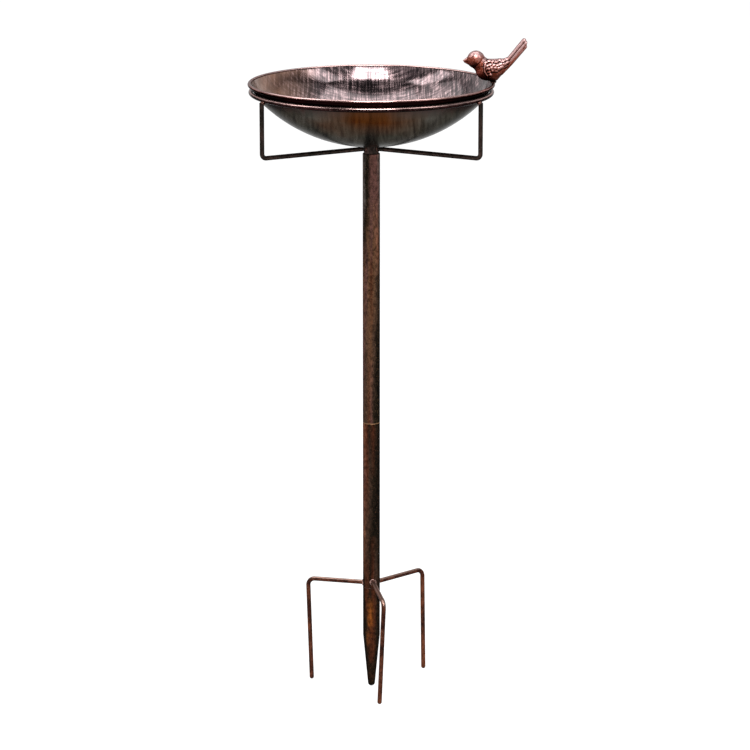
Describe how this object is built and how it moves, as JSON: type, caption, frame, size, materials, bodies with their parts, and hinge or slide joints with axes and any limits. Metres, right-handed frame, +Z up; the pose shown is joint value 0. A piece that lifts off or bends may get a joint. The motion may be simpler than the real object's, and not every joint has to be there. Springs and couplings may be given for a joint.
{
  "type": "bird bath",
  "caption": "Metal bird bath: a round bowl with a bird on its rim, in a rod cradle on a sectional post with a pronged ground stake.",
  "frame": {"origin": "on the post's axis at ground level, where the prongs leave the stake", "axes": "+Z up along the post, +X towards the bird on the bowl's rim, +Y away from the front prong"},
  "size_m": [0.3025, 0.271, 0.7353],
  "materials": {
    "bowl_copper": "dark brown base with dry-brushed antique copper, satin",
    "cast_copper": "bright pinkish copper over dark crevices, satin",
    "post_copper": "dark brown base with upright copper brush streaks, satin",
    "rod_copper": "dark brown base with copper rubbed on its high side, satin",
    "rod_dark": "near-black brown, satin",
    "weld_dark": "painted weld metal, patchy",
    "bare_steel": "plain steel, lightly oiled"
  },
  "bodies": {
    "ground_section": {"joint_spigot": "bare_steel", "lower_tube": "post_copper", "stake_point": "post_copper", "stake_weld": "weld_dark", "prong_front": "rod_copper", "prong_right": "rod_copper", "prong_left": "rod_copper", "prong_welds": "weld_dark"},
    "upper_post": {"upper_tube": "post_copper"},
    "cradle": {"cradle_hub": "rod_dark", "hub_welds": "weld_dark", "cradle_arm_rear": "rod_dark", "cradle_arm_left": "rod_dark", "cradle_arm_right": "rod_dark", "arm_ring_welds": "weld_dark", "support_ring": "rod_copper", "ring_seam_weld": "weld_dark"},
    "bowl": {"bowl": "bowl_copper", "bird": "cast_copper", "bird_braze": "weld_dark"}
  },
  "joints": [
    {"name": "post_lift", "type": "slide", "parent": "ground_section", "child": "upper_post", "axis": [0, 0, 1], "range_m": [0, 0.06]},
    {"name": "cradle_lift", "type": "slide", "parent": "upper_post", "child": "cradle", "axis": [0, 0, 1], "range_m": [0, 0.045]},
    {"name": "bowl_lift", "type": "slide", "parent": "cradle", "child": "bowl", "axis": [0, 0, 1], "range_m": [0, 0.08]}
  ]
}
